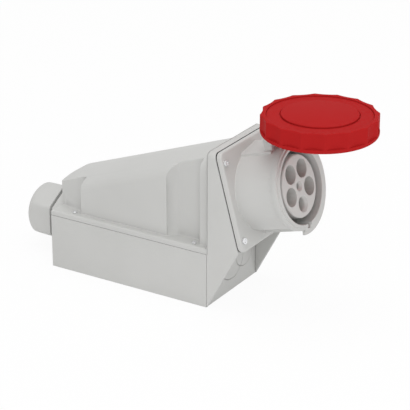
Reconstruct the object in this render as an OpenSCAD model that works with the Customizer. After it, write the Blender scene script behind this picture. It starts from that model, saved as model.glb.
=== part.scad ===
// Wall mounted pin and sleeve socket.
// A wall box with a sloping hood carries a slanted square flange with the round socket,
// a hinged lid with a turning locking ring, and a cable gland at the other end.
// Millimetres. The wall face is Z = 0, +X runs towards the socket and -X towards the gland.
// The origin is the centre of the wall-fixing holes.

/* [Wall box] */
// Length of the box along the wall
box_l = 190; // [175:1:220]
// Width of the box, which is also the width of the hood's frame and of the flange
box_w = 100; // [96:1:120]
// Height of the box, from the wall to the seam
box_h = 58; // [52:1:70]
// Wall of the box and of the hood
wall = 3; // [2.5:0.25:3.5]
// Distance from the box's ends to the wall-fixing holes
fix_inset_x = 15; // [12:0.5:22]
// Distance from the box's sides to the wall-fixing holes
fix_inset_y = 20; // [17:0.5:26]
// Radius of the wall-fixing holes
fix_hole_r = 3.25; // [2:0.05:4]
// Radius of the centre knock-out
knockout_main_r = 21.75; // [18:0.25:22.5]
// Radius of the side knock-outs
knockout_side_r = 16; // [12:0.25:18]
// Distance from the middle to the side knock-outs
knockout_side_y = 24; // [20:0.5:26]
// Depth of the knock-outs' centres below the seam
knockout_drop = 24; // [23:0.5:28]

/* [Hood] */
// Height of the band that sits on the box
band_h = 6; // [5:0.25:8]
// Width of the ledge beside the hood
ledge_w = 7; // [6:0.25:9]
// Crest of the roof above the seam, at the gland end
roof_rear = 35.8; // [32:0.1:44]
// Crest of the roof above the seam, at the frame
roof_front = 105.3; // [101:0.1:108]
// Radius of the roof's crown, across
crown_r = 110; // [90:1:180]
// Rounding of the roof's long edges
roof_edge_r = 10.5; // [7:0.5:14]
// Rounding of the roof's rear edge
rear_edge_r = 9.5; // [5:0.5:12]
// Rounding of the rear wall's corners
rear_corner_r = 2.5; // [1.5:0.5:8]
// Length of the rear screw pockets
rear_pocket_l = 33; // [30:0.5:42]
// Depth of the rear screw pockets
rear_pocket_d = 12.5; // [9:0.5:15]
// Distance from the frame back to the start of the front screw pockets
front_pocket_start = 51.8; // [46:0.1:60]
// Distance from the frame back to the end of the front screw pockets
front_pocket_end = 12.7; // [9:0.1:13]
// Depth of the front screw pockets
front_pocket_d = 9.8; // [8.5:0.1:13]
// Distance from the gland end to the rear hood screws
hood_screw_rear = 26; // [20:0.5:27]
// Distance from the frame to the front hood screws
hood_screw_front = 18.3; // [17.5:0.1:26]
// Distance from the box's sides to the hood screws
hood_screw_side = 6.7; // [6:0.1:7]

/* [Frame] */
// Height of the frame's lip above the roof's crest
frame_lip = 3.2; // [2:0.1:8]
// Depth of the frame at its top
frame_depth = 8.7; // [8:0.1:14]
// Tilt of the socket face, from upright
face_tilt = 15.4; // [12:0.1:18]
// Rounding of the frame's top corners
frame_corner_r = 6; // [4:0.25:8]

/* [Socket] */
// Height of the flange, along the slanted face
flange_h = 102.7; // [100:0.1:106]
// Thickness of the flange
flange_t = 5.5; // [5:0.1:7]
// Rounding of the flange's corners
flange_corner_r = 6.5; // [5:0.25:8]
// Rounding of the flange's front edge
flange_edge_r = 2; // [1:0.1:2.5]
// Thickness of the flange gasket
gasket_t = 1.2; // [0.8:0.1:2]
// Distance from the flange's sides to its screws
flange_screw_side = 5.7; // [5.5:0.1:9]
// Distance from the flange's top and foot to its screws
flange_screw_end = 11.3; // [9:0.1:12]
// Distance from the flange's middle down to the socket axis
socket_drop = 0.95; // [0:0.05:1.5]
// Radius of the collar where it leaves the flange
collar_root_r = 40; // [39.8:0.1:42]
// Radius of the collar behind the rim
collar_r = 42; // [40.5:0.1:42.6]
// Radius of the rim
rim_r = 44; // [43.6:0.1:44.4]
// Width of the rim
rim_w = 6; // [5.2:0.1:7]
// Radius of the sealing lip in front of the rim
lip_r = 41.2; // [40:0.1:42]
// Height of the sealing lip
lip_h = 1.5; // [0.8:0.1:2]
// Distance from the slanted face to the front of the sealing lip
rim_s = 57.5; // [55:0.25:62]
// Radius of the opening that takes the plug's sleeve
bore_r = 38.1; // [36.9:0.1:38.6]
// Width of the flat saddle on top of the collar
saddle_w = 31; // [26:0.5:32]
// Height of the saddle's top above the socket axis
saddle_top = 43.4; // [42.7:0.1:44.5]
// Slope of the saddle's top, from side to side
saddle_slope = 8.7; // [0:0.1:9]
// Width of the keyway at six o'clock
keyway_w = 6.5; // [5:0.25:8]
// Width of the rib under the keyway
rib_w = 12; // [11:0.5:15]
// Angle from six o'clock back to the start of the locking lug
lug_before = 12; // [8:0.5:18]
// Angle from six o'clock on to the end of the locking lug
lug_after = 125; // [90:1:130]
// Height of the locking lug above the rim
lug_rise = 4.5; // [3.5:0.1:4.6]
// Length of the locking lug
lug_l = 3.4; // [3:0.1:4]

/* [Contacts] */
// Radius of the insulator
carrier_r = 31.4; // [30:0.1:32]
// Depth of the insulator's face behind the rim
carrier_drop = 2.6; // [1:0.1:5]
// Radius of the circle that the contacts lie on
contact_circle_r = 18.5; // [18:0.1:19.2]
// Radius of the mouths in front of the phase and neutral contacts
mouth_r = 9.35; // [8:0.05:9.6]
// Depth of the mouths
mouth_depth = 17; // [12:0.5:20]
// Radius of the earth contact's mouth
earth_mouth_r = 6.5; // [6.4:0.05:7.5]
// Radius of the pilot contact's hole
pilot_mouth_r = 3.25; // [2.8:0.05:3.3]
// Bore of the phase and neutral contacts
contact_bore_r = 4.05; // [3:0.05:4.4]
// Bore of the earth contact
earth_bore_r = 5.05; // [4.5:0.05:5.1]
// Bore of the pilot contact
pilot_bore_r = 2.55; // [1.5:0.05:2.6]

/* [Lid] */
// How far the closed lid reaches over the rim
lid_overlap = 6.5; // [6.4:0.1:8]
// Height of the locking ring
ring_h = 20.2; // [19:0.1:24]
// Thickness of the lid's skirt
skirt_t = 1.6; // [1.4:0.1:2.4]
// Thickness of the locking ring around the lid's skirt
ring_wall = 6.7; // [6:0.1:9]
// Number of grip scallops round the ring
scallops = 16; // [12:1:24]
// Radius of each scallop
scallop_r = 49; // [30:1:60]
// Height of the ring's plain foot below the scallops
ring_foot = 4.5; // [3:0.25:6]
// Thickness of the lid's disc
disc_t = 4.5; // [3.5:0.1:5]
// Depth of the disc below the ring's top
disc_drop = 1.2; // [0.6:0.1:2]
// Radius of the raised centre of the disc
dome_r = 37.5; // [30:0.25:44]
// Height of the raised centre's edge
dome_step = 1.2; // [0.6:0.1:2]
// Rise of the raised centre from its edge to its middle
dome_rise = 1.5; // [0.5:0.1:3]
// Distance from the slanted face to the hinge pin
hinge_s = 37; // [34:0.1:38]
// Height of the hinge pin above the saddle
hinge_rise = 8.2; // [7.8:0.1:10]
// Radius of the hinge pin
hinge_pin_r = 2; // [1.5:0.1:2.5]
// Radius of the hinge knuckle
knuckle_r = 4.5; // [4:0.1:5]
// Width of the hinge knuckle
knuckle_w = 16; // [12:0.5:17]
// Thickness of the hinge ears
ear_w = 3.7; // [3:0.1:4.5]

/* [Cable gland] */
// Depth of the gland's axis below the seam
gland_drop = 20; // [19.5:0.25:24]
// Thread radius of the gland
thread_r = 18.5; // [16:0.25:18.7]
// Width across the flats of the gland's hexagons
gland_af = 55; // [52:0.5:58]
// Length of the gland body's hexagon
gland_flange_l = 11.5; // [8:0.5:14]
// Length of the nut's hexagon
nut_hex_l = 20; // [18:0.5:26]
// Length of the nut's dome
dome_l = 18; // [14:0.5:20]
// Radius of the nut's opening
nut_mouth_r = 13.8; // [12:0.1:15]
// Radius of the cable that the seal fits
cable_r = 11.2; // [7:0.1:11.4]

/* [Fits] */
// Open seam between the box and the hood
seam_gap = 0.3; // [0.2:0.05:0.5]
// Room between pieces that slide past each other
slide_gap = 0.2; // [0.1:0.05:0.3]
// Room round pins and threads
pin_gap = 0.05; // [0.02:0.01:0.08]

/* [Hidden] */
$fn = 96;

housing_grey = "#c9c9c6";
insulator_grey = "#bdb8b3";
lid_red = "#c01f22";
rubber_black = "#2b2b2d";
screw_steel = "#d5d6d8";
contact_brass = "#c9a85a";

// A cut runs this far past the surface that it opens
past = 1;

// Box and seam
front_x = box_l / 2;
rear_x = -box_l / 2;
side_y = box_w / 2;
box_front_x = front_x - seam_gap;
seam_z = box_h + seam_gap;
fix_x = box_l / 2 - fix_inset_x;
fix_y = box_w / 2 - fix_inset_y;
fix_boss_r = fix_hole_r + 2.75;
fix_boss_h = 2;
knockout_z = box_h - knockout_drop;
knockout_groove = 0.8;

// Seal between box and hood, in a groove under the hood's band
seal_w = wall * 0.45;
seal_h = 1.25;
seal_inset = (wall - seal_w) / 2;

// Hood
ledge_z = box_h + band_h;
band_edge_r = 2;
hood_y = side_y - ledge_w;
roof_slope = atan((roof_front - roof_rear) / box_l);
rear_pocket_x = rear_x + rear_pocket_l;
front_pocket_x0 = front_x - front_pocket_start;
front_pocket_x1 = front_x - front_pocket_end;
rear_pocket_y = hood_y - rear_pocket_d;
front_pocket_y = hood_y - front_pocket_d;
hood_screw_y = side_y - hood_screw_side;
hood_screw_r = 1.5;
hood_head_r = 2.5;
hood_post_r = 4.2;
hood_thread_l = 14;
inside_corner_r = 0.5;

// Slanted face: x runs down the face and z out along the socket axis
frame_top = box_h + roof_front + frame_lip;
face_top_x = front_x + frame_depth;
face_foot_x = face_top_x + flange_h * sin(face_tilt);
face_foot_z = frame_top - flange_h * cos(face_tilt);
face_x = (face_top_x + face_foot_x) / 2;
face_z = (frame_top + face_foot_z) / 2;
frame_floor_z = face_foot_z + wall;

// Flange and its screws
flange_screw_x = flange_h / 2 - flange_screw_end;
flange_screw_y = side_y - flange_screw_side;
flange_screw_r = 2;
flange_head_r = 3.3;
flange_thread_l = 8;
flange_boss_r = 5;
gasket_inset = 1.2;
face_gap = 0.02;
flange_s = gasket_t + flange_t;

// Collar
rim_front_s = rim_s - lip_h;
rim_s0 = rim_front_s - rim_w;
rim_edge_r = 1;
rim_slope = 1.8;
seat_s = gasket_t + 7.8;
gap_floor_s = seat_s + 3;
seat_r = carrier_r + 4.4;
rib_r = collar_r + 2.6;
keyway_r = rim_r - 0.8;
keyway_l = 26;
lug_r = rim_r + lug_rise;
lug_set = 0.1;
lug_s = rim_front_s - lug_set - lug_l;
closed_s = rim_s - lid_overlap;
rib_end_s = closed_s - 1;
saddle_end_s = hinge_s + knuckle_r;
saddle_lean = saddle_w / 2 * tan(saddle_slope);

// Contacts and insulator
carrier_s = rim_s - carrier_drop;
contact_s = carrier_s - mouth_depth;
contact_floor_s = seat_s;
collar_t = 2;
contact_wall = 1.5;
earth_wall = 1.05;
pilot_wall = 0.9;
terminal_r = 6.2;
pilot_terminal_r = 3.7;
collar_rise = 1;
cone_rise = 2;
cone_depth = 3;
back_t = 8.7;
back_s = gasket_t - back_t;
back_r = seat_r + 4.7;
terminal_l = 12.5;
terminal_s = back_s - terminal_l;
wire_r = 3.6;
pilot_wire_r = 1.8;
terminal_screw_r = 2;
terminal_screw_l = 6;
pilot_screw_r = 1.25;
carrier_screw_r = 1.2;
carrier_head_r = 2.1;
carrier_thread_l = 3.5;
carrier_screw_circle = (seat_r + back_r) / 2;
clock_step = 72;
phase_angles = [-72, -144, -216, -288];

// Lid, with z = 0 at the foot of the locking ring and the hinge on the -x side
hinge_u = saddle_top + hinge_rise;
hinge_x = face_x + hinge_s * cos(face_tilt) - (hinge_u - socket_drop) * sin(face_tilt);
hinge_z = face_z + hinge_s * sin(face_tilt) + (hinge_u - socket_drop) * cos(face_tilt);
lid_x = hinge_x + hinge_u;
lid_z = hinge_z + closed_s - hinge_s;
skirt_r0 = lug_r + 2 * slide_gap;
skirt_r1 = skirt_r0 + skirt_t;
disc_r = skirt_r1 + 0.9;
bead_r = skirt_r1 + 0.7;
disc_z1 = ring_h - disc_drop;
disc_z0 = disc_z1 - disc_t;
shoulder_t = 3.8;
shoulder_z1 = disc_z0 - slide_gap;
shoulder_z0 = shoulder_z1 - shoulder_t;
bead_h = 2.5;
skirt_z = shoulder_z0 - slide_gap - bead_h;
ring_bore_r = bead_r + 0.3;
shoulder_r = skirt_r1 + slide_gap;
ring_top_r = disc_r + slide_gap;
ring_r = shoulder_r + ring_wall;
ring_edge_r = 3;
ledge_r = rim_r + 0.5;
ledge_t = lug_s - closed_s - slide_gap;
ledge_start = lug_after + 3;
ledge_angle = 36;
scallop_land = 0.35;
scallop_peak_r = ring_r + scallop_land;
lid_seal_z = lid_overlap + seam_gap;
lid_seal_t = 2.5;
lid_seal_r0 = bore_r + 0.5;
lid_seal_r1 = lip_r + 1;
land_lip = 0.9;
land_groove = 1;
tab_x0 = -(skirt_r1 - 0.5);
tab_x1 = -(skirt_r0 - 2.5);
ear_y = knuckle_w / 2 + slide_gap + ear_w / 2;

// Cable gland, with z = 0 at the box's outer wall and z outwards
gland_z = box_h - gland_drop;
washer_t = 1.5;
gland_hex_r = gland_af / 2 / cos(30);
body_z = washer_t + gland_flange_l;
nut_z = body_z + 2;
nut_dome_z = nut_z + nut_hex_l;
neck_r = thread_r + 1.5;
neck_l = 17;
gland_bore_r = cable_r + 0.8;
seal_cup_r = cable_r + 3.4;
seal_cup_z = body_z + 1;
locknut_t = 6;
locknut_r = thread_r + 8;
washer_r = thread_r + 6.5;

// Flat outline of a rectangle with rounded corners, centred
module round_rect(l, w, r) {
    square([l - 2 * r, w], center = true);
    square([l, w - 2 * r], center = true);
    for (x = [-1, 1], y = [-1, 1])
        translate([x * (l / 2 - r), y * (w / 2 - r)]) circle(r);
}

// Upright outline with two rounded top corners
module round_top(half_w, bottom, top, r) {
    translate([-half_w, bottom]) square([2 * half_w, top - r - bottom]);
    translate([r - half_w, bottom]) square([2 * (half_w - r), top - bottom]);
    for (side = [-1, 1])
        translate([side * (half_w - r), top - r]) circle(r);
}

// A side view, drawn in x and z, made as wide as given
module across(width) {
    rotate([90, 0, 0]) linear_extrude(width, center = true) children();
}

// A front view, drawn in y and z, run along x
module along(x0, x1) {
    translate([x0, 0, 0]) rotate([90, 0, 90]) linear_extrude(x1 - x0) children();
}

// A plate with rounded corners and a rounded edge on its +z side
module soft_plate(l, w, t, r, edge) {
    along(r - l / 2, l / 2 - r) round_top(w / 2, 0, t, edge);
    across(w - 2 * r) round_top(l / 2, 0, t, edge);
    for (x = [-1, 1], y = [-1, 1])
        translate([x * (l / 2 - r), y * (w / 2 - r), 0]) rotate_extrude() {
            square([r, t - edge]);
            square([r - edge, t]);
            translate([r - edge, t - edge]) circle(edge);
        }
}

// A screw with its head's underside at z = 0, its shank down -z and a cross recess
module cross_screw(r, head_r, length) {
    head_h = head_r * 0.6;
    recess = head_r * 0.35;
    difference() {
        union() {
            cylinder(r = head_r, h = head_h);
            translate([0, 0, -length]) cylinder(r = r, h = length + head_h / 2);
        }
        for (turn = [0, 90]) rotate(turn)
            translate([-head_r * 0.65, -recess / 2, head_h / 2]) cube([head_r * 1.3, recess, head_h]);
    }
}

module at_fixings() {
    for (x = [-1, 1], y = [-1, 1]) translate([x * fix_x, y * fix_y, 0]) children();
}

module at_hood_screws(z) {
    for (x = [rear_x + hood_screw_rear, front_x - hood_screw_front], y = [-1, 1])
        translate([x, y * hood_screw_y, z]) children();
}

module at_face() {
    translate([face_x, 0, face_z]) rotate([0, 90 - face_tilt, 0]) children();
}

module at_socket() {
    at_face() translate([socket_drop, 0, 0]) children();
}

module at_flange_screws(s) {
    for (x = [-1, 1], y = [-1, 1])
        translate([x * flange_screw_x, y * flange_screw_y, s]) children();
}

module at_carrier_screws(s) {
    for (turn = [0 : 2]) rotate(turn * 120)
        translate([carrier_screw_circle, 0, s]) children();
}

module at_lid() {
    translate([lid_x, 0, lid_z]) children();
}

module at_gland() {
    translate([rear_x, 0, gland_z]) rotate([0, -90, 0]) children();
}

module base_box() {
    module knockout(r, y) {
        translate([box_front_x - knockout_groove, y, knockout_z]) rotate([0, 90, 0]) difference() {
            cylinder(r = r + knockout_groove / 2, h = knockout_groove + past);
            translate([0, 0, -past]) cylinder(r = r - knockout_groove / 2, h = knockout_groove + 3 * past);
        }
    }
    color(housing_grey) difference() {
        union() {
            difference() {
                translate([rear_x, -side_y, 0]) cube([box_l - seam_gap, box_w, box_h]);
                translate([rear_x + wall, wall - side_y, wall])
                    cube([box_l - seam_gap - 2 * wall, box_w - 2 * wall, box_h]);
            }
            at_hood_screws(wall / 2) cylinder(r = hood_post_r, h = box_h - wall / 2);
            at_fixings() cylinder(r = fix_boss_r, h = wall + fix_boss_h);
        }
        at_fixings() translate([0, 0, -past]) cylinder(r = fix_hole_r, h = wall + fix_boss_h + 2 * past);
        at_hood_screws(box_h - hood_thread_l)
            cylinder(r = hood_screw_r + pin_gap, h = hood_thread_l + past);
        at_gland() translate([0, 0, -wall - past])
            cylinder(r = thread_r + slide_gap, h = wall + 2 * past);
        knockout(knockout_main_r, 0);
        for (side = [-1, 1]) knockout(knockout_side_r, side * knockout_side_y);
    }
}

// The seal's ring, grown by a little room for its groove
module seal_ring(z, h, room) {
    length = box_l - seam_gap - 2 * seal_inset;
    width = box_w - 2 * seal_inset;
    translate([-seam_gap / 2, 0, z]) linear_extrude(h) difference() {
        square([length + 2 * room, width + 2 * room], center = true);
        square([length - 2 * seal_w - 2 * room, width - 2 * seal_w - 2 * room], center = true);
    }
}

module housing_gasket() {
    color(rubber_black) seal_ring(box_h, seal_h, 0);
}

// Plan of the hood, stepped in at its four screw pockets; inset by a wall for the inside
module hood_plan(inset, front_end) {
    slant = inset * (sqrt(2) - 1);
    corner_r = max(rear_corner_r - inset, inside_corner_r);
    corner_x = rear_x + inset + corner_r;
    corner_y = rear_pocket_y - inset - corner_r;
    for (side = [-1, 1]) scale([1, side]) {
        polygon([
            [rear_pocket_x + inset, 0],
            [rear_pocket_x + inset, hood_y - inset],
            [front_pocket_x0 - slant, hood_y - inset],
            [front_pocket_x0 + front_pocket_d - slant, front_pocket_y - inset],
            [front_pocket_x1 + inset, front_pocket_y - inset],
            [front_pocket_x1 + inset, hood_y - inset],
            [front_end, hood_y - inset],
            [front_end, 0]
        ]);
    }
    translate([corner_x, inset - rear_pocket_y]) square([rear_pocket_l + wall, 2 * (rear_pocket_y - inset)]);
    translate([rear_x + inset, -corner_y]) square([rear_pocket_l, 2 * corner_y]);
    for (side = [-1, 1]) translate([corner_x, side * corner_y]) circle(corner_r);
}

// Everything under the sloping roof, which is crowned across and rounded along its sides
module under_roof(inset) {
    reach = box_l * 3;
    edge_y = hood_y - roof_edge_r;
    edge_z = sqrt(pow(crown_r - roof_edge_r, 2) - edge_y * edge_y) - crown_r;
    crown_y = edge_y * (crown_r - inset) / (crown_r - roof_edge_r);
    translate([front_x, 0, box_h + roof_front]) rotate([0, -roof_slope, 0])
        along(-reach * 0.7, reach * 0.3) {
            intersection() {
                translate([0, -crown_r]) circle(crown_r - inset, $fn = 720);
                translate([-crown_y, -crown_r]) square([2 * crown_y, crown_r]);
            }
            translate([inset - hood_y, -reach]) square([2 * (hood_y - inset), reach + edge_z]);
            for (side = [-1, 1]) translate([side * edge_y, edge_z]) circle(roof_edge_r - inset);
        }
}

// Everything in front of the rear wall, under the rounded rear edge of the roof
module past_rear_edge(inset) {
    edge_x = rear_x + rear_edge_r;
    edge_z = box_h + roof_rear + rear_edge_r * tan(roof_slope) - rear_edge_r / cos(roof_slope);
    edge_r = rear_edge_r - inset;
    crest_x = edge_x - edge_r * sin(roof_slope);
    across(box_w) {
        translate([rear_x + inset, 0]) square([crest_x - rear_x - inset, edge_z]);
        translate([crest_x, 0]) square([2 * box_l, 2 * frame_top]);
        translate([edge_x, edge_z]) circle(edge_r);
    }
}

module hood_outside() {
    intersection() {
        along(rear_x, front_x) round_top(side_y, seam_z, ledge_z, band_edge_r);
        across(box_w + 2 * past) round_top(front_x, seam_z, ledge_z, band_edge_r);
    }
    translate([front_x - band_edge_r, -side_y, seam_z]) cube([band_edge_r + wall, box_w, band_h - seam_gap]);
    intersection() {
        translate([0, 0, seam_z]) linear_extrude(roof_front) hood_plan(0, front_x + wall / 2);
        under_roof(0);
        past_rear_edge(0);
    }
    intersection() {
        across(box_w) polygon([[front_x, seam_z], [front_x, frame_top], [face_top_x, frame_top],
            [face_foot_x, face_foot_z], [front_x + wall, face_foot_z], [front_x + wall, seam_z]]);
        along(front_x - past, face_foot_x + past) round_top(side_y, 0, frame_top, frame_corner_r);
    }
    for (side = [-1, 1]) translate([0, side * (side_y - wall / 2), 0])
        across(wall) polygon([[front_x, 0], [front_x, frame_floor_z], [face_foot_x, face_foot_z]]);
}

module hood_inside() {
    translate([rear_x + wall, wall - side_y, seam_z - past])
        cube([box_l - 2 * wall, box_w - 2 * wall, band_h - wall - seam_gap + past]);
    difference() {
        intersection() {
            translate([0, 0, seam_z - past]) linear_extrude(roof_front)
                hood_plan(wall, front_x + wall + past);
            under_roof(wall);
            past_rear_edge(wall);
        }
        translate([front_x - wall, -side_y, 0]) cube([3 * wall, box_w, frame_floor_z]);
    }
    intersection() {
        translate([front_x + wall, wall - side_y, frame_floor_z])
            cube([face_foot_x, box_w - 2 * wall, frame_top - wall - frame_floor_z]);
        at_face() translate([-flange_h, -side_y, -2 * flange_h - wall])
            cube([2 * flange_h, box_w, 2 * flange_h]);
    }
    at_socket() translate([0, 0, -wall - past]) cylinder(r = back_r + 1.5, h = wall + 2 * past);
}

module hood() {
    boss_l = flange_thread_l + wall;
    color(housing_grey) difference() {
        union() {
            difference() {
                hood_outside();
                hood_inside();
            }
            at_hood_screws(seam_z) cylinder(r = hood_post_r, h = band_h - seam_gap - wall / 2);
            intersection() {
                at_face() at_flange_screws(-boss_l) {
                    cylinder(r = flange_boss_r, h = boss_l - wall / 2);
                }
                translate([front_x, -side_y, 0]) cube([face_foot_x, box_w, frame_top]);
            }
        }
        at_hood_screws(seam_z - past) cylinder(r = hood_screw_r + slide_gap, h = band_h + past);
        at_face() at_flange_screws(-flange_thread_l)
            cylinder(r = flange_screw_r + pin_gap, h = flange_thread_l + past);
        seal_ring(seam_z - past, box_h + seal_h + pin_gap - seam_z + past, pin_gap);
    }
}

module hood_screws() {
    color(screw_steel) at_hood_screws(ledge_z)
        cross_screw(hood_screw_r, hood_head_r, band_h + hood_thread_l - 2);
}

module flange_gasket() {
    color(rubber_black) at_face() translate([0, 0, face_gap])
    linear_extrude(gasket_t - face_gap) difference() {
        round_rect(flange_h - 2 * gasket_inset, box_w - 2 * gasket_inset, flange_corner_r - gasket_inset);
        translate([socket_drop, 0]) circle(back_r + 0.5);
        at_flange_screws(0) circle(flange_screw_r + slide_gap);
    }
}

module socket_body() {
    module collar_profile() {
        polygon([[0, gasket_t], [collar_root_r, gasket_t], [collar_r, rim_s0 - rim_slope], [rim_r, rim_s0],
            [rim_r, rim_front_s - rim_edge_r], [rim_r - rim_edge_r, rim_front_s], [0, rim_front_s]]);
        translate([rim_r - rim_edge_r, rim_front_s - rim_edge_r]) circle(rim_edge_r);
        translate([0, gasket_t]) square([lip_r, rim_s - gasket_t]);
    }
    module ear() {
        rotate([90, 0, 0]) cylinder(r = knuckle_r, h = ear_w, center = true);
        translate([0, -ear_w / 2, -knuckle_r]) cube([hinge_rise + saddle_lean + 1, ear_w, 2 * knuckle_r]);
    }
    module keyway() {
        round_x = keyway_r - keyway_w / 2;
        translate([0, -keyway_w / 2, 0]) cube([round_x, keyway_w, keyway_l + past]);
        translate([round_x, 0, 0]) cylinder(r = keyway_w / 2, h = keyway_l + past);
    }
    module collar() {
        rotate_extrude() collar_profile();
        translate([0, 0, gasket_t]) linear_extrude(saddle_end_s - gasket_t)
            polygon([[0, -saddle_w / 2], [saddle_lean - saddle_top, -saddle_w / 2],
                [-saddle_lean - saddle_top, saddle_w / 2], [0, saddle_w / 2]]);
        for (side = [-1, 1]) translate([-hinge_u, side * ear_y, hinge_s]) ear();
        translate([0, -rib_w / 2, gasket_t]) cube([rib_r, rib_w, rib_end_s - gasket_t]);
        translate([0, 0, lug_s]) rotate(-lug_before)
            rotate_extrude(angle = lug_before + lug_after) square([lug_r, lug_l]);
    }
    module collar_inside() {
        translate([0, 0, gasket_t - past]) cylinder(r = seat_r + slide_gap, h = seat_s - gasket_t + past);
        cylinder(r = carrier_r + slide_gap, h = gap_floor_s + past);
        translate([0, 0, gap_floor_s]) cylinder(r = bore_r, h = rim_s);
        translate([0, 0, rim_s - keyway_l]) keyway();
        at_carrier_screws(0) cylinder(r = carrier_screw_r + pin_gap, h = gasket_t + carrier_thread_l);
        translate([-hinge_u, 0, hinge_s]) rotate([90, 0, 0])
            cylinder(r = hinge_pin_r + pin_gap, h = 4 * knuckle_w, center = true);
    }
    color(housing_grey) difference() {
        union() {
            at_face() translate([0, 0, gasket_t])
                soft_plate(flange_h, box_w, flange_t, flange_corner_r, flange_edge_r);
            at_socket() collar();
        }
        at_socket() collar_inside();
        at_face() at_flange_screws(0) cylinder(r = flange_screw_r + slide_gap, h = flange_s + past);
    }
}

module flange_screws() {
    color(screw_steel) at_face() at_flange_screws(flange_s)
        cross_screw(flange_screw_r, flange_head_r, flange_s + flange_thread_l - 1);
}

// Seats of one contact in the insulator: mouth, sleeve and collar
module contact_seat(front_r, sleeve_r, rod_r) {
    translate([0, 0, contact_s]) cylinder(r = front_r, h = mouth_depth + past);
    cylinder(r = sleeve_r + pin_gap, h = contact_s);
    cylinder(r = rod_r + collar_rise + pin_gap, h = gasket_t + collar_t);
}

module contact_carrier() {
    lead_in = cone_depth + past;
    color(insulator_grey) at_socket() difference() {
        union() {
            translate([0, 0, gasket_t]) cylinder(r = seat_r, h = seat_s - gasket_t);
            translate([0, 0, gasket_t]) cylinder(r = carrier_r, h = carrier_s - gasket_t - 1);
            translate([0, 0, carrier_s - 1]) cylinder(r1 = carrier_r, r2 = carrier_r - 1, h = 1);
        }
        for (angle = phase_angles) rotate(angle) translate([contact_circle_r, 0, 0])
            contact_seat(mouth_r, contact_bore_r + contact_wall, terminal_r);
        translate([contact_circle_r, 0, 0]) {
            contact_seat(earth_mouth_r, earth_bore_r + earth_wall, terminal_r);
            translate([0, 0, carrier_s - cone_depth])
                cylinder(r1 = earth_mouth_r,
                         r2 = earth_mouth_r + cone_rise * lead_in / cone_depth, h = lead_in);
        }
        contact_seat(pilot_mouth_r, pilot_bore_r + pilot_wall, pilot_terminal_r);
        translate([0, 0, carrier_s - cone_depth])
            cylinder(r1 = pilot_mouth_r, r2 = pilot_mouth_r + cone_rise * lead_in / cone_depth, h = lead_in);
    }
}

// A contact sleeve with a clamping collar and a terminal for the wire behind it
module contact(angle, circle_r, bore, thickness, rod_r, wire, screw_r) {
    color(contact_brass) at_socket() rotate(angle) translate([circle_r, 0, 0]) difference() {
        union() {
            translate([0, 0, gasket_t]) cylinder(r = bore + thickness, h = contact_s - gasket_t);
            translate([0, 0, gasket_t]) cylinder(r = rod_r + collar_rise, h = collar_t);
            translate([0, 0, terminal_s]) cylinder(r = rod_r, h = gasket_t - terminal_s + past);
        }
        translate([0, 0, contact_floor_s]) cylinder(r = bore, h = contact_s);
        translate([0, 0, terminal_s - past]) cylinder(r = wire, h = terminal_l + past - 1);
        translate([0, 0, terminal_s + terminal_l / 2]) rotate([0, 90, 0])
            cylinder(r = screw_r + pin_gap, h = 2 * rod_r);
    }
}

module phase_contact(angle) {
    contact(angle, contact_circle_r, contact_bore_r, contact_wall, terminal_r, wire_r, terminal_screw_r);
}

module contact_l1() { phase_contact(phase_angles[0]); }
module contact_l2() { phase_contact(phase_angles[1]); }
module contact_l3() { phase_contact(phase_angles[2]); }
module contact_neutral() { phase_contact(phase_angles[3]); }

module contact_earth() {
    contact(0, contact_circle_r, earth_bore_r, earth_wall, terminal_r, wire_r, terminal_screw_r);
}

module contact_pilot() {
    contact(clock_step / 2, 0, pilot_bore_r, pilot_wall, pilot_terminal_r, pilot_wire_r, pilot_screw_r);
}

module terminal_screws() {
    module terminal_screw(r, start, length) {
        translate([start, 0, terminal_s + terminal_l / 2]) rotate([0, 90, 0]) difference() {
            cylinder(r = r, h = length);
            translate([-2 * r, -r / 4, length - r / 2]) cube([4 * r, r / 2, r]);
        }
    }
    color(screw_steel) at_socket() {
        for (turn = [0 : 4]) rotate(turn * clock_step)
            translate([contact_circle_r, 0, 0]) terminal_screw(terminal_screw_r, 1, terminal_screw_l);
        rotate(clock_step / 2) terminal_screw(pilot_screw_r, 0.5, terminal_screw_l * 0.7);
    }
}

module carrier_back() {
    color(insulator_grey) at_socket() difference() {
        translate([0, 0, back_s]) cylinder(r = back_r, h = back_t);
        for (turn = [0 : 4]) rotate(turn * clock_step) translate([contact_circle_r, 0, back_s - past])
            cylinder(r = terminal_r + pin_gap, h = back_t + 2 * past);
        translate([0, 0, back_s - past]) cylinder(r = pilot_terminal_r + pin_gap, h = back_t + 2 * past);
        at_carrier_screws(back_s - past) cylinder(r = carrier_screw_r + slide_gap, h = back_t + 2 * past);
    }
}

module carrier_screws() {
    color(screw_steel) at_socket() at_carrier_screws(back_s) rotate([180, 0, 0])
        cross_screw(carrier_screw_r, carrier_head_r, back_t + carrier_thread_l - 0.5);
}

module hinge_pin() {
    head_t = 1;
    span = 2 * (ear_y + ear_w / 2);
    color(screw_steel) at_socket() translate([-hinge_u, 0, hinge_s]) rotate([90, 0, 0]) {
        cylinder(r = hinge_pin_r, h = span + head_t, center = true);
        for (side = [-1, 1]) translate([0, 0, side * (span + head_t) / 2])
            cylinder(r = hinge_pin_r + 1, h = head_t, center = true);
    }
}

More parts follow.
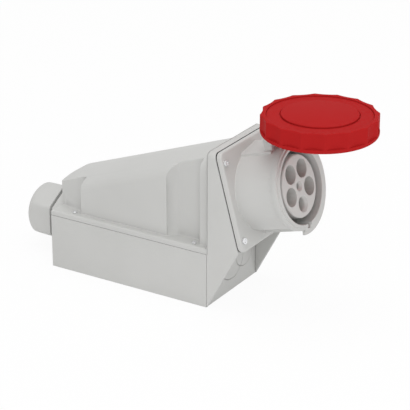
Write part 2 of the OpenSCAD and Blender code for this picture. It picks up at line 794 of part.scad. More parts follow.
module lid_disc() {
    dome_edge_z = disc_z1 + dome_step;
    dome_ball_r = (dome_r * dome_r + dome_rise * dome_rise) / (2 * dome_rise);
    land_z = lid_seal_z + lid_seal_t;
    module disc_profile() {
        translate([0, disc_z0]) square([disc_r, disc_t]);
        translate([skirt_r0, skirt_z]) square([skirt_r1 - skirt_r0, disc_z0 - skirt_z + disc_t / 2]);
        translate([skirt_r0, skirt_z]) square([bead_r - skirt_r0, bead_h]);
        translate([lid_seal_r0 - land_lip, land_z])
            square([lid_seal_r1 - lid_seal_r0 + 2 * land_lip, disc_z0 - land_z + disc_t / 2]);
        for (r = [lid_seal_r0 - land_lip, lid_seal_r1 + pin_gap])
            translate([r, land_z - land_groove]) square([land_lip - pin_gap, land_groove + disc_t / 2]);
    }
    color(lid_red) at_lid() difference() {
        union() {
            rotate_extrude() disc_profile();
            rotate_extrude() intersection() {
                translate([0, disc_z0]) square([dome_r, disc_t + dome_step + dome_rise]);
                translate([0, dome_edge_z + dome_rise - dome_ball_r]) circle(dome_ball_r, $fn = 2000);
            }
            translate([tab_x0, -knuckle_w / 2, hinge_s - closed_s])
                cube([tab_x1 - tab_x0, knuckle_w, disc_z0 - disc_t - hinge_s + closed_s]);
            translate([-hinge_u, 0, hinge_s - closed_s]) rotate([90, 0, 0])
                cylinder(r = knuckle_r, h = knuckle_w, center = true);
        }
        translate([-hinge_u, 0, hinge_s - closed_s]) rotate([90, 0, 0])
            cylinder(r = hinge_pin_r + pin_gap, h = 2 * knuckle_w, center = true);
    }
}

module lid_seal() {
    color(rubber_black) at_lid() translate([0, 0, lid_seal_z]) difference() {
        cylinder(r = lid_seal_r1, h = lid_seal_t);
        translate([0, 0, -past]) cylinder(r = lid_seal_r0, h = lid_seal_t + 2 * past);
    }
}

module bayonet_ring() {
    scallop_half = 180 / scallops;
    scallop_centre = scallop_peak_r * cos(scallop_half)
        + sqrt(scallop_r * scallop_r - pow(scallop_peak_r * sin(scallop_half), 2));
    module ring_profile() {
        difference() {
            union() {
                translate([shoulder_r, ring_edge_r]) square([ring_wall, ring_h - ring_edge_r]);
                translate([shoulder_r, 0]) square([ring_wall - ring_edge_r, ring_h]);
                translate([ring_r - ring_edge_r, ring_edge_r]) circle(ring_edge_r);
            }
            translate([0, -past]) square([ring_bore_r, shoulder_z0 + past]);
            translate([0, shoulder_z1]) square([ring_top_r, ring_h]);
        }
    }
    color(lid_red) at_lid() {
        difference() {
            rotate_extrude() ring_profile();
            for (turn = [0 : scallops - 1]) rotate(turn * 2 * scallop_half)
                translate([scallop_centre, 0, ring_foot]) cylinder(r = scallop_r, h = ring_h);
        }
        rotate(ledge_start) rotate_extrude(angle = ledge_angle)
            translate([ledge_r, 0]) square([ring_bore_r - ledge_r + 1, ledge_t]);
    }
}

module gland_washer() {
    color(rubber_black) at_gland() difference() {
        cylinder(r = washer_r, h = washer_t);
        translate([0, 0, -past]) cylinder(r = thread_r + slide_gap, h = washer_t + 2 * past);
    }
}

module gland_body() {
    tail = wall + locknut_t + 1.5;
    color(housing_grey) at_gland() difference() {
        union() {
            translate([0, 0, -tail]) cylinder(r = thread_r, h = tail + body_z);
            translate([0, 0, washer_t]) cylinder(r = gland_hex_r, h = gland_flange_l, $fn = 6);
            translate([0, 0, body_z - past]) cylinder(r = neck_r, h = neck_l + past);
        }
        translate([0, 0, -tail - past]) cylinder(r = gland_bore_r, h = 2 * tail + body_z + neck_l);
        translate([0, 0, seal_cup_z]) cylinder(r = seal_cup_r, h = neck_l + past);
    }
}

module gland_locknut() {
    color(housing_grey) at_gland() translate([0, 0, -wall - locknut_t]) difference() {
        cylinder(r = locknut_r, h = locknut_t, $fn = 6);
        translate([0, 0, -past]) cylinder(r = thread_r + pin_gap, h = locknut_t + 2 * past);
    }
}

module gland_seal() {
    color(rubber_black) at_gland() translate([0, 0, seal_cup_z]) difference() {
        cylinder(r = seal_cup_r - pin_gap, h = neck_l - 1);
        translate([0, 0, -past]) cylinder(r = cable_r, h = neck_l + 2 * past);
    }
}

module gland_nut() {
    dome_start_r = gland_hex_r - dome_l;
    color(housing_grey) at_gland() difference() {
        intersection() {
            translate([0, 0, nut_z]) cylinder(r = gland_hex_r, h = nut_hex_l + dome_l, $fn = 6);
            rotate_extrude() {
                translate([0, nut_z]) square([gland_hex_r, nut_hex_l]);
                translate([0, nut_z]) square([dome_start_r, nut_hex_l + dome_l]);
                intersection() {
                    translate([dome_start_r, nut_dome_z]) circle(dome_l);
                    translate([0, nut_z]) square([gland_hex_r, nut_hex_l + dome_l]);
                }
            }
        }
        translate([0, 0, nut_z - past])
            cylinder(r = neck_r + pin_gap, h = body_z + neck_l - nut_z + past + 0.5);
        cylinder(r = nut_mouth_r, h = 2 * (nut_dome_z + dome_l));
    }
}

base_box();
housing_gasket();
hood();
hood_screws();
flange_gasket();
socket_body();
flange_screws();
contact_carrier();
contact_l1();
contact_l2();
contact_l3();
contact_neutral();
contact_earth();
contact_pilot();
terminal_screws();
carrier_back();
carrier_screws();
hinge_pin();
lid_disc();
lid_seal();
bayonet_ring();
gland_washer();
gland_body();
gland_locknut();
gland_seal();
gland_nut();
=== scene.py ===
from math import atan2, cos, radians, sin

import bmesh
import bpy
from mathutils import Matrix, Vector


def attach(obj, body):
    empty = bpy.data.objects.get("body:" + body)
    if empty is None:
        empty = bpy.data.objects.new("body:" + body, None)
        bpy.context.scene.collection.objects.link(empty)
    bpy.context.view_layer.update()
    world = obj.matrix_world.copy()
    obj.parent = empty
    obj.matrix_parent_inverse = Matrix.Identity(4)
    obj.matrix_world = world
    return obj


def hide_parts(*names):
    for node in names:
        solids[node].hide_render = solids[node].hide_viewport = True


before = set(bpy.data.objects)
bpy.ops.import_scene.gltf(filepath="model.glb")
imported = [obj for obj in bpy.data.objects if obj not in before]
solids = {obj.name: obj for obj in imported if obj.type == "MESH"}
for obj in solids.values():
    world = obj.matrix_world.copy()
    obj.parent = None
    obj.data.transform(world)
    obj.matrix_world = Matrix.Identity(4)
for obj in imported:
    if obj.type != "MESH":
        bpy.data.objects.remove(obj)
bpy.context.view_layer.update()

# The camera stands to the front right of the socket, a little above it and far off,
# as a catalogue picture is taken with a long lens.
eye = Vector((0.9556, -1.4408, 0.8073))
aim = Vector((0.0623, 0.0, 0.0863))


def aimed_from(place):
    """The turn of a camera or lamp at the place that looks at the part's middle."""
    return (aim - Vector(place)).to_track_quat("-Z", "Y").to_euler()


long_lens = bpy.data.cameras.new("catalogue_camera")
long_lens.lens = 159.8
long_lens.sensor_width = 36.0
camera = bpy.data.objects.new("catalogue_camera", long_lens)
camera.location = eye
camera.rotation_euler = aimed_from(eye)
bpy.context.collection.objects.link(camera)
bpy.context.scene.camera = camera
bpy.context.scene.view_settings.view_transform = "Standard"

# The studio is a pale paper floor under soft boxes, with a white wall all round.
# What looks straight at paper or wall sees white, and the object is lit at a plain level.
WALL_WHITE, ROOM_LIGHT = (1.0, 1.0, 1.0, 1.0), 0.585
PAPER_WHITE, PAPER_GLOW = (0.96, 0.96, 0.96, 1.0), 0.93
PAPER_HALF, PAPER_Z = 3.0, -0.0001
SOFT_BOXES = (
    ("top_soft_box", (0.2, 0.0, 2.6), 1.8, 18.0),
    ("high_soft_box", (1.0, -1.6, 2.2), 1.6, 11.0),
    ("low_soft_box", (1.2, -2.0, 0.6), 1.6, 6.6),
    ("front_soft_box", (2.5, 1.2, 0.9), 1.6, 9.0),
)


def new_node(tree, kind, sockets=()):
    """Adds a node with its sockets set from pairs of name and value."""
    node = tree.nodes.new(kind)
    for socket, value in sockets:
        node.inputs[socket].default_value = value
    return node


def seen_directly(tree):
    """A socket that is 1 for what the camera sees, by itself, in a reflection or through glass."""
    path = new_node(tree, "ShaderNodeLightPath")
    seen = path.outputs["Is Camera Ray"]
    for ray in ("Is Glossy Ray", "Is Transmission Ray"):
        either = new_node(tree, "ShaderNodeMath")
        either.operation = "MAXIMUM"
        tree.links.new(seen, either.inputs[0])
        tree.links.new(path.outputs[ray], either.inputs[1])
        seen = either.outputs[0]
    return seen


def mixed(tree, first, second):
    """Mixes two shaders, with the share still to be set."""
    mix = new_node(tree, "ShaderNodeMixShader")
    tree.links.new(first.outputs[0], mix.inputs[1])
    tree.links.new(second.outputs[0], mix.inputs[2])
    return mix


def show_when_seen(tree, lit, white, output):
    """Sends the lit shader to the output, and the white one to what looks straight at it."""
    either = mixed(tree, lit, white)
    tree.links.new(seen_directly(tree), either.inputs[0])
    tree.links.new(either.outputs[0], new_node(tree, output).inputs["Surface"])


studio = bpy.data.worlds.new("white_studio")
bpy.context.scene.world = studio
studio.use_nodes = True
room_tree = studio.node_tree
room_tree.nodes.clear()
room_light, white_wall = [
    new_node(room_tree, "ShaderNodeBackground", [("Color", WALL_WHITE), ("Strength", strength)])
    for strength in (ROOM_LIGHT, 1.0)]
show_when_seen(room_tree, room_light, white_wall, "ShaderNodeOutputWorld")

paper_white = bpy.data.materials.new("paper_white")
paper_white.use_nodes = True
paper_tree = paper_white.node_tree
paper_tree.nodes.clear()
lit_paper = new_node(paper_tree, "ShaderNodeBsdfDiffuse", [("Color", PAPER_WHITE)])
plain_white = new_node(paper_tree, "ShaderNodeEmission", [("Strength", 1.0)])
bright_paper = mixed(paper_tree, lit_paper, plain_white)
bright_paper.inputs[0].default_value = PAPER_GLOW
show_when_seen(paper_tree, lit_paper, bright_paper, "ShaderNodeOutputMaterial")

paper_form = bmesh.new()
bmesh.ops.create_grid(paper_form, x_segments=1, y_segments=1, size=PAPER_HALF)
bmesh.ops.translate(paper_form, vec=(0, 0, PAPER_Z), verts=paper_form.verts)
paper_mesh = bpy.data.meshes.new("paper_floor")
paper_form.to_mesh(paper_mesh)
paper_form.free()
paper_mesh.materials.append(paper_white)
paper = bpy.data.objects.new("paper_floor", paper_mesh)
bpy.context.collection.objects.link(paper)

for name, place, size, watts in SOFT_BOXES:
    lamp = bpy.data.lights.new(name, "AREA")
    lamp.shape = "DISK"
    lamp.size = size
    lamp.energy = watts
    soft_box = bpy.data.objects.new(name, lamp)
    soft_box.location = place
    soft_box.rotation_euler = aimed_from(place)
    bpy.context.collection.objects.link(soft_box)

# Wall box: one grey moulding, open towards the hood, with thin knock-outs in its front wall.
# Glass-filled thermoplastic with a fine spark-eroded skin; four screws hold it on the wall.
WELD, FLAT_ANGLE, CORNER_ANGLE = 0.00002, radians(0.4), radians(30)
BOX_EDGE = 0.0005
DRIFT_SCALE, DRIFT_DETAIL, DARK_TO, LIGHT_FROM = 14.0, 3.0, 0.3, 0.7
GRAIN_DETAIL, GRAIN_STRENGTH = 4.0, 0.35


def join(tree, links):
    """Links outputs to inputs, each given as node and socket name."""
    for source, output, target, socket in links:
        tree.links.new(source.outputs[output], target.inputs[socket])


def moulded(name, colour, shade, gloss, grain_scale, grain_depth, shine=0.5):
    """Plastic or rubber whose tone drifts slowly, with a fine grain in its gloss and relief."""
    plastic = bpy.data.materials.new(name)
    plastic.use_nodes = True
    tree = plastic.node_tree
    skin = tree.nodes["Principled BSDF"]
    skin.inputs["Specular IOR Level"].default_value = shine
    place = new_node(tree, "ShaderNodeTexCoord")
    drift = new_node(tree, "ShaderNodeTexNoise", [("Scale", DRIFT_SCALE), ("Detail", DRIFT_DETAIL)])
    tint = new_node(tree, "ShaderNodeValToRGB")
    dark, light = tint.color_ramp.elements
    dark.position, dark.color = DARK_TO, shade
    light.position, light.color = LIGHT_FROM, colour
    grain = new_node(tree, "ShaderNodeTexNoise", [("Scale", grain_scale), ("Detail", GRAIN_DETAIL)])
    sheen = new_node(tree, "ShaderNodeMapRange", [("To Min", gloss[0]), ("To Max", gloss[1])])
    relief = new_node(tree, "ShaderNodeBump",
                      [("Strength", GRAIN_STRENGTH), ("Distance", grain_depth)])
    join(tree, [
        (place, "Object", drift, "Vector"), (place, "Object", grain, "Vector"),
        (drift, "Fac", tint, "Fac"), (tint, "Color", skin, "Base Color"),
        (grain, "Fac", sheen, "Value"), (sheen, "Result", skin, "Roughness"),
        (grain, "Fac", relief, "Height"), (relief, "Normal", skin, "Normal"),
    ])
    return plastic


def dress(node, finish, edge):
    """Gives a CAD node its finish, and eases its edges to the given width."""
    solid = solids[node]
    solid.data.materials.clear()
    solid.data.materials.append(finish)
    closed = solid.modifiers.new("closed", "WELD")
    closed.merge_threshold = WELD
    flats = solid.modifiers.new("flats", "DECIMATE")
    flats.decimate_type = "DISSOLVE"
    flats.angle_limit = FLAT_ANGLE
    eased = solid.modifiers.new("eased", "BEVEL")
    eased.width = edge
    eased.segments = 2
    eased.limit_method = "ANGLE"
    eased.angle_limit = CORNER_ANGLE
    eased.use_clamp_overlap = False
    eased.profile = 0.5
    shaded = solid.modifiers.new("shaded", "WEIGHTED_NORMAL")
    shaded.weight = 100
    shaded.keep_sharp = False


housing_grey = moulded("housing_grey", colour=(0.60, 0.60, 0.585, 1), shade=(0.57, 0.57, 0.555, 1),
                       gloss=(0.44, 0.56), grain_scale=1900.0, grain_depth=0.00012)
dress("base_box", housing_grey, BOX_EDGE)

# Housing seal: a thin strip of black rubber in the joint between the box and the hood.
# It lies in a groove, and the hood's screws press it together.
HOUSING_SEAL_EDGE = 0.0002
seal_rubber = moulded("seal_rubber", colour=(0.018, 0.018, 0.019, 1),
                      shade=(0.012, 0.012, 0.013, 1), gloss=(0.6, 0.75),
                      grain_scale=900.0, grain_depth=0.0002)
dress("housing_gasket", seal_rubber, HOUSING_SEAL_EDGE)

# Hood: the grey cover with the sloping roof, screw pockets and the slanted frame, one moulding
# of the box's plastic. Its roof and pocket edges are softer than the others, as they come out of
# the tool first; four screws in the pockets hold it down.
SOFT_EDGE, PLAIN_EDGE, JOINT_EDGE = 0.0012, 0.0008, 0.0003
NEAR = 0.0001
LEDGE_Z, JOINT_LOW, JOINT_HIGH = 0.0639, 0.0577, 0.0584
FRAME_X, FRAME_REAR, FRAME_TOP, CHEEK_Y = 0.095, 0.0915, 0.16, 0.0435
REAR_X, REAR_TOP, POCKET_X, POCKET_Y = -0.0875, 0.0855, -0.0615, 0.0305
BAND_X, BAND_ROOM, BAND_Y, BAND_LOW, BAND_HIGH = 0.093, 0.0022, 0.0455, 0.061, 0.0645
ROOF_FACING, SIDE_FACING, WALL_LEAN = 0.12, 0.02, 0.02


def near(value, place):
    return abs(value - place) < NEAR


def outside_corner(edge):
    """An outer corner of the roof or a pocket, above the ledge and behind the frame."""
    normals = [face.normal for face in edge.link_faces]
    y = edge.verts[0].co.y
    above_ledge = min(v.co.z for v in edge.verts) > LEDGE_Z
    behind_frame = max(v.co.x for v in edge.verts) < FRAME_REAR
    outwards = any(n.z > ROOF_FACING or n.y * y > SIDE_FACING for n in normals)
    upright = any(abs(n.z) < WALL_LEAN for n in normals)
    convex = edge.calc_face_angle_signed() > CORNER_ANGLE
    return above_ledge and behind_frame and outwards and upright and convex


def beside_band_end(edge):
    """A short edge where the band behind the frame ends, too small to ease."""
    return all(abs(v.co.x - BAND_X) < BAND_ROOM and abs(v.co.y) > BAND_Y
               and BAND_LOW < v.co.z < BAND_HIGH for v in edge.verts)


def on_joint(edge):
    """An edge where the hood meets the frame or the box, or a thin edge of a rear pocket."""
    points = [v.co for v in edge.verts]
    at_frame = all(near(p.x, FRAME_X) and (abs(p.y) > CHEEK_Y or p.z > FRAME_TOP) for p in points)
    at_box = all(JOINT_LOW < p.z < JOINT_HIGH for p in points)
    rear_corner = all(p.x < REAR_X and p.z > REAR_TOP for p in points)
    pocket_top = all(p.x < POCKET_X and p.z > REAR_TOP and near(abs(p.y), POCKET_Y) for p in points)
    return at_frame or at_box or rear_corner or pocket_top


def crowded(form):
    """The edges that more than two faces share, which are left alone."""
    return [e for e in form.edges if len(e.link_faces) > 2]


def corners(form, from_angle=CORNER_ANGLE):
    """The edges whose two faces meet at more than the angle."""
    return [e for e in form.edges if e.is_manifold and e.calc_face_angle() > from_angle]


def merged_copy(node):
    """A copy of a CAD node's mesh with its points merged and its flat faces joined."""
    form = bmesh.new()
    form.from_mesh(solids[node].data)
    bmesh.ops.remove_doubles(form, verts=form.verts, dist=WELD)
    kept = {v for e in crowded(form) for f in e.link_faces for v in f.verts}
    bmesh.ops.dissolve_limit(form, angle_limit=FLAT_ANGLE,
                             verts=[v for v in form.verts if v not in kept],
                             edges=[e for e in form.edges if not kept.issuperset(e.verts)])
    for edge in form.edges:
        edge.smooth = True
    return form


def ease_edges(form, edges, width, steps):
    bmesh.ops.bevel(form, geom=edges, offset=width, offset_type="OFFSET", affect="EDGES",
                    segments=steps, profile=0.5, material=-1, clamp_overlap=False)


def sink(form, faces, depth):
    """Sinks faces into the form, with walls round them."""
    form.normal_update()
    sunk = bmesh.ops.extrude_face_region(form, geom=faces)["geom"]
    floor = {g for g in sunk if isinstance(g, bmesh.types.BMFace)}
    for v in [g for g in sunk if isinstance(g, bmesh.types.BMVert)]:
        facing = sum((f.normal for f in v.link_faces if f in floor), Vector())
        v.co -= facing.normalized() * depth
    bmesh.ops.delete(form, geom=[f for f in faces if f.is_valid], context="FACES")
    form.normal_update()


def fit_copy(form, name, node, body, finish):
    """Makes the form a piece that stands for a CAD node."""
    for face in form.faces:
        face.smooth = True
    mesh = bpy.data.meshes.new(name)
    form.to_mesh(mesh)
    form.free()
    mesh.materials.append(finish)
    piece = bpy.data.objects.new(name, mesh)
    bpy.context.collection.objects.link(piece)
    shaded = piece.modifiers.new("shaded", "WEIGHTED_NORMAL")
    shaded.weight = 100
    shaded.keep_sharp = True
    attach(piece, body)
    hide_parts(node)


hood_form = merged_copy("hood")
ease_edges(hood_form, [e for e in corners(hood_form) if on_joint(e)], JOINT_EDGE, steps=2)
soft = [e for e in corners(hood_form) if outside_corner(e) and not on_joint(e)]
ease_edges(hood_form, soft, SOFT_EDGE, steps=4)
shared = {v for e in crowded(hood_form) for v in e.verts}
plain = [e for e in corners(hood_form)
         if not beside_band_end(e) and not on_joint(e) and shared.isdisjoint(e.verts)]
ease_edges(hood_form, plain, PLAIN_EDGE, steps=3)

# The slanted rear walls of the front pockets are slightly hollow: each is cut into a grid,
# and the grid's points move inwards, most in the middle and not at all at the rims.
HOLLOW, HOLLOW_X, HOLLOW_W, HOLLOW_PARTS = 0.0021, 0.0432, 0.0098, 8
HOLLOW_LEVELS = (0.068, 0.076, 0.096, 0.106, 0.112, 0.118, 0.124)
HOLLOW_TOP, TOP_FADE, HOLLOW_FOOT, FOOT_FADE = 0.1275, 0.012, 0.0648, 0.004
HOLLOW_FACING, HOLLOW_AREA, HOLLOW_FROM_X, DIAGONAL = 0.69, 0.0006, 0.04, 0.7071


def share(part, whole):
    """How much of the whole the part is, from 0 to 1."""
    return min(1, max(0, part / whole))


grid = [((HOLLOW_X + HOLLOW_W * k / HOLLOW_PARTS, 0, 0), (1, 0, 0)) for k in range(1, HOLLOW_PARTS)]
grid += [((0, 0, z), (0, 0, 1)) for z in HOLLOW_LEVELS]
for side in (-1, 1):
    wall = [f for f in hood_form.faces
            if f.normal.x > HOLLOW_FACING and f.normal.y * side > HOLLOW_FACING
            and f.calc_area() > HOLLOW_AREA and f.calc_center_bounds().x > HOLLOW_FROM_X]
    geom = set(wall) | {e for f in wall for e in f.edges} | {v for f in wall for v in f.verts}
    for point, normal in grid:
        cut = bmesh.ops.bisect_plane(hood_form, geom=list(geom), dist=1e-6,
                                     plane_co=point, plane_no=normal)
        geom = set(cut["geom"]) | {g for g in geom if g.is_valid}
    inward = Vector((-DIAGONAL, -DIAGONAL * side, 0))
    for v in {v for g in geom if isinstance(g, bmesh.types.BMFace) for v in g.verts}:
        along = (v.co.x - HOLLOW_X) / HOLLOW_W
        if 0 < along < 1:
            fade = share(HOLLOW_TOP - v.co.z, TOP_FADE) * share(v.co.z - HOLLOW_FOOT, FOOT_FADE)
            v.co += inward * HOLLOW * 4 * along * (1 - along) * fade

# A fine seam runs round behind the frame: two cuts part a strip, which is sunk.
SEAM_X, SEAM_W, SEAM_DEPTH, SEAM_FOOT, SEAM_TOP = 0.09535, 0.0008, 0.0014, 0.0585, 0.1655
SEAM_ROOM, SEAM_LEAN, ROOF_ARM, SEAM_FACING = 1e-6, 0.3, 0.06, 0.01


def on_seam(face):
    """An outer face of the strip between the two cuts."""
    n, y = face.normal, face.verts[0].co.y
    sideways = abs(n.x) < SEAM_LEAN
    outwards = n.y * y + n.z * ROOF_ARM > SEAM_FACING
    points = [v.co for v in face.verts]
    between_cuts = all(SEAM_X - SEAM_ROOM < p.x < SEAM_X + SEAM_W + SEAM_ROOM and p.z > JOINT_HIGH
                       for p in points)
    on_outside = any(abs(p.y) > CHEEK_Y or p.z > SEAM_TOP for p in points)
    return sideways and outwards and between_cuts and on_outside


seam_cuts = [((x, 0, 0), (1, 0, 0)) for x in (SEAM_X, SEAM_X + SEAM_W)]
seam_cuts.append(((0, 0, SEAM_FOOT), (0, 0, 1)))
for point, normal in seam_cuts:
    bmesh.ops.bisect_plane(hood_form, dist=1e-7, plane_co=point, plane_no=normal,
                           geom=hood_form.verts[:] + hood_form.edges[:] + hood_form.faces[:])
sink(hood_form, [f for f in hood_form.faces if on_seam(f)], SEAM_DEPTH)
for v in hood_form.verts:
    v.co.z = max(v.co.z, 0.0)
fit_copy(hood_form, "hood_moulding", "hood", "housing", housing_grey)

# Hood screws: four bright zinc-plated steel screws with a cross recess, cold-headed.
# They stand in the hood's pockets and are driven into posts of the box.
HOOD_SCREW_EDGE = 0.00015
CLOUD_DETAIL, POLISH_STRENGTH, POLISH_DEPTH = 5.0, 0.15, 0.00005


def metal(name, colour, shade, gloss, cloud_scale, bare=1.0):
    """Plated or turned metal with a cloudy tone, gloss and a trace of relief."""
    plated = bpy.data.materials.new(name)
    plated.use_nodes = True
    tree = plated.node_tree
    skin = tree.nodes["Principled BSDF"]
    skin.inputs["Metallic"].default_value = bare
    place = new_node(tree, "ShaderNodeTexCoord")
    cloud = new_node(tree, "ShaderNodeTexNoise", [("Scale", cloud_scale), ("Detail", CLOUD_DETAIL)])
    tint = new_node(tree, "ShaderNodeValToRGB")
    dark, light = tint.color_ramp.elements
    dark.color, light.color = shade, colour
    sheen = new_node(tree, "ShaderNodeMapRange", [("To Min", gloss[0]), ("To Max", gloss[1])])
    relief = new_node(tree, "ShaderNodeBump",
                      [("Strength", POLISH_STRENGTH), ("Distance", POLISH_DEPTH)])
    join(tree, [
        (place, "Object", cloud, "Vector"),
        (cloud, "Fac", tint, "Fac"), (tint, "Color", skin, "Base Color"),
        (cloud, "Fac", sheen, "Value"), (sheen, "Result", skin, "Roughness"),
        (cloud, "Fac", relief, "Height"), (relief, "Normal", skin, "Normal"),
    ])
    return plated


zinc_steel = metal("zinc_steel", colour=(0.88, 0.88, 0.89, 1), shade=(0.74, 0.75, 0.76, 1),
                   gloss=(0.2, 0.34), cloud_scale=700.0, bare=0.92)
dress("hood_screws", zinc_steel, HOOD_SCREW_EDGE)

# Flange gasket: black rubber sheet, punched, between the frame and the socket's flange.
# Its upper and lower rims are stretched out to the edge, so that the black rubber paints the shadow
# gap there: painted shade.
FACE_MIDDLE, FACE_UP = Vector((0.117336, 0, 0.116994)), Vector((-0.2656, 0, 0.9641))
SHADOW_GAP_STRETCH = 0.027
gasket_form = merged_copy("flange_gasket")
# The sheet is stretched up and down from the face's middle, so that its black rims stand in for the
# shade in the gap.
for v in gasket_form.verts:
    v.co += FACE_UP * (v.co - FACE_MIDDLE).dot(FACE_UP) * SHADOW_GAP_STRETCH
fit_copy(gasket_form, "flange_gasket_sheet", "flange_gasket", "housing", seal_rubber)

# Socket body: square flange, collar with its rim, saddle, hinge ears and locking lug, one
# moulding of the housing's plastic. Four screws hold it on the slanted frame, and only the
# edges of their seats are left sharp.
SOCKET_EDGE, SOCKET_CORNER = 0.0007, radians(55)
SCREW_Y, SCREW_UP, SCREW_ROOM = 0.0443, 0.04005, 0.0035


def by_flange_screw(v):
    up = (v.co - FACE_MIDDLE).dot(FACE_UP)
    return abs(abs(v.co.y) - SCREW_Y) < SCREW_ROOM and abs(abs(up) - SCREW_UP) < SCREW_ROOM


def all_but_sharp(edges, sharp_at):
    """Marks the edges with both ends at the place as sharp, and returns the others."""
    for edge in edges:
        edge.smooth = not all(sharp_at(v) for v in edge.verts)
    return [edge for edge in edges if edge.smooth]


socket_form = merged_copy("socket_body")
socket_edges = all_but_sharp(corners(socket_form, SOCKET_CORNER), by_flange_screw)
ease_edges(socket_form, socket_edges, SOCKET_EDGE, steps=3)
fit_copy(socket_form, "socket_moulding", "socket_body", "housing", housing_grey)

# Flange screws: four zinc-plated steel screws with a cross recess, as in the hood.
# They stand in the flange's corners and press it and its gasket on the frame.
FLANGE_SCREW_EDGE = 0.0002
dress("flange_screws", zinc_steel, FLANGE_SCREW_EDGE)

# Insulator and its back plate: two mouldings of warm grey thermoset, matt from the press.
# The plate is screwed on from behind, and the contacts are held between them.
INSULATOR_EDGE, BACK_PLATE_EDGE = 0.0004, 0.0003
insulator_grey = moulded("insulator_grey", colour=(0.61, 0.6, 0.585, 1),
                         shade=(0.58, 0.57, 0.555, 1), gloss=(0.5, 0.62),
                         grain_scale=1500.0, grain_depth=0.0001)
dress("contact_carrier", insulator_grey, INSULATOR_EDGE)
dress("carrier_back", insulator_grey, BACK_PLATE_EDGE)

# Contacts: six turned brass sleeves, the earth's wider and the pilot's narrower than the others.
# A zinc-plated screw clamps the wire in the terminal behind each sleeve, and others of the kind
# hold the back plate.
SLEEVE_EDGE, TERMINAL_SCREW_EDGE, PLATE_SCREW_EDGE = 0.0003, 0.0002, 0.0003
contact_brass = metal("contact_brass", colour=(0.62, 0.44, 0.19, 1), shade=(0.52, 0.36, 0.15, 1),
                      gloss=(0.25, 0.4), cloud_scale=500.0)
for sleeve in ("l1", "l2", "l3", "neutral", "earth", "pilot"):
    dress("contact_" + sleeve, contact_brass, SLEEVE_EDGE)
dress("terminal_screws", zinc_steel, TERMINAL_SCREW_EDGE)
dress("carrier_screws", zinc_steel, PLATE_SCREW_EDGE)

# Hinge pin: a plain pin of dull zinc-plated steel, cut from wire.
# It goes through the socket's two ears and the knuckle of the lid, which turns on it.
PIN_EDGE = 0.0003
dull_zinc = metal("dull_zinc", colour=(0.6, 0.6, 0.59, 1), shade=(0.54, 0.54, 0.53, 1),
                  gloss=(0.55, 0.7), cloud_scale=300.0, bare=0.4)
dress("hinge_pin", dull_zinc, PIN_EDGE)

# Lid: a disc moulded in red plastic, with a raised centre in a fine groove, a skirt and the
# hinge arm, which swings on the pin. Its rubber seal is pushed in from below and closes on
# the socket's rim.
LID_X, TOP_Z, DOME_R, TOP_FACING = 0.191157, 0.20865, 0.0375, 0.999
GROOVE_W, GROOVE_DEPTH, LID_EDGE, LID_SEAL_EDGE = 0.0011, 0.0012, 0.0004, 0.0004
lid_red = moulded("lid_red", colour=(0.455, 0.0175, 0.018, 1), shade=(0.435, 0.0165, 0.017, 1),
                  gloss=(0.38, 0.5), grain_scale=1700.0, grain_depth=0.00006, shine=0.008)


def on_lid_top(face):
    return face.normal.z > TOP_FACING and all(abs(v.co.z - TOP_Z) < WELD for v in face.verts)


def by_dome(v):
    return ((v.co.x - LID_X) ** 2 + v.co.y ** 2) ** 0.5 < DOME_R + 1.5 * GROOVE_W


lid_form = merged_copy("lid_disc")
bmesh.ops.inset_region(lid_form, faces=[f for f in lid_form.faces if on_lid_top(f)],
                       thickness=GROOVE_W, use_even_offset=True, use_boundary=True)
groove = [f for f in lid_form.faces if on_lid_top(f) and all(by_dome(v) for v in f.verts)]
sink(lid_form, groove, GROOVE_DEPTH)
ease_edges(lid_form, corners(lid_form), LID_EDGE, steps=3)
fit_copy(lid_form, "lid_moulding", "lid_disc", "lid", lid_red)
dress("lid_seal", seal_rubber, LID_SEAL_EDGE)

# Locking ring: moulded in the lid's red plastic, with shallow grip scallops, on the lid's skirt.
# It turns there by hand, and only the edges of the ledge under its scallops are left sharp.
RING_EDGE, RING_LEDGE_Z = 0.0008, 0.19415


def on_ring_ledge(v):
    return near(v.co.z, RING_LEDGE_Z)


ring_form = merged_copy("bayonet_ring")
ease_edges(ring_form, all_but_sharp(corners(ring_form), on_ring_ledge), RING_EDGE, steps=3)
fit_copy(ring_form, "bayonet_ring_moulding", "bayonet_ring", "locking_ring", lid_red)

# Cable gland: a grey nylon body with a hexagon, put through the box's end wall with a rubber
# washer outside and a lock nut inside. The rubber seal in its mouth grips the cable.
BODY_END, BODY_LONGER, BODY_EDGE = -0.108, 0.0026, 0.0006
WASHER_EDGE, LOCK_NUT_EDGE, GLAND_SEAL_EDGE = 0.0002, 0.0005, 0.0004
dress("gland_washer", seal_rubber, WASHER_EDGE)
body_form = merged_copy("gland_body")
for v in body_form.verts:
    if near(v.co.x, BODY_END):
        v.co.x -= BODY_LONGER
ease_edges(body_form, corners(body_form), BODY_EDGE, steps=2)
fit_copy(body_form, "gland_body_moulding", "gland_body", "housing", housing_grey)
dress("gland_locknut", housing_grey, LOCK_NUT_EDGE)
dress("gland_seal", seal_rubber, GLAND_SEAL_EDGE)

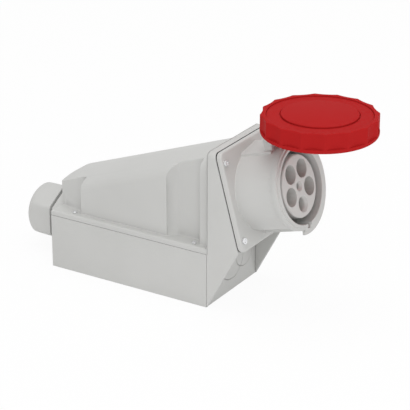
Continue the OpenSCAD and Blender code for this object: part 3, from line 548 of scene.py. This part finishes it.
# Gland nut: a domed nut of the same grey nylon, screwed on the body over the seal.
# It is turned from a round outline, and its six flats are pressed in so that the ridges and the
# dome blend softly.
NUT_FOOT, DOME_FOOT, DOME_L, STEP_X, GLAND_Z = -0.1138, -0.118, 0.030, -0.1255, 0.038
FLAT_R, TURNED_R, RIM_R, BORE_R, NECK_R = 0.0275, 0.0348, 0.0145, 0.0138, 0.02005
MOUTH_DEPTH, NUT_EDGE, NUT_CORNER = 0.0004, 0.0006, radians(60)
DOME_STEPS, TURN_STEPS, RIDGE_POWER, FLAT_POWER = 24, 144, 40, 24
outline = [(STEP_X, BORE_R), (STEP_X, NECK_R), (NUT_FOOT, NECK_R), (NUT_FOOT, TURNED_R)]
for step in range(DOME_STEPS + 1):
    rise = radians(step * 90 / DOME_STEPS)
    outline.append((DOME_FOOT - DOME_L * sin(rise), RIM_R + (TURNED_R - RIM_R) * cos(rise)))
outline.append((DOME_FOOT - DOME_L + MOUTH_DEPTH, BORE_R))
nut_form = bmesh.new()
chain = [nut_form.verts.new((x, 0, GLAND_Z + r)) for x, r in outline]
closed_chain = [nut_form.edges.new((chain[i - 1], chain[i])) for i in range(len(chain))]
bmesh.ops.spin(nut_form, geom=chain + closed_chain, cent=(0, 0, GLAND_Z), axis=(1, 0, 0),
               angle=radians(360), steps=TURN_STEPS, use_merge=True)
bmesh.ops.recalc_face_normals(nut_form, faces=nut_form.faces)
for v in nut_form.verts:
    y, z = v.co.y, v.co.z - GLAND_Z
    r, turn = (y * y + z * z) ** 0.5, atan2(y, z)
    flats = (max(0, cos(turn - radians(30 + 60 * k))) for k in range(6))
    flat = FLAT_R / sum(c ** RIDGE_POWER for c in flats) ** (1 / RIDGE_POWER)
    pressed = (r ** -FLAT_POWER + flat ** -FLAT_POWER) ** (-1 / FLAT_POWER) / r
    v.co.y, v.co.z = y * pressed, GLAND_Z + z * pressed
ease_edges(nut_form, corners(nut_form, NUT_CORNER), NUT_EDGE, steps=3)
fit_copy(nut_form, "gland_nut_moulding", "gland_nut", "housing", housing_grey)
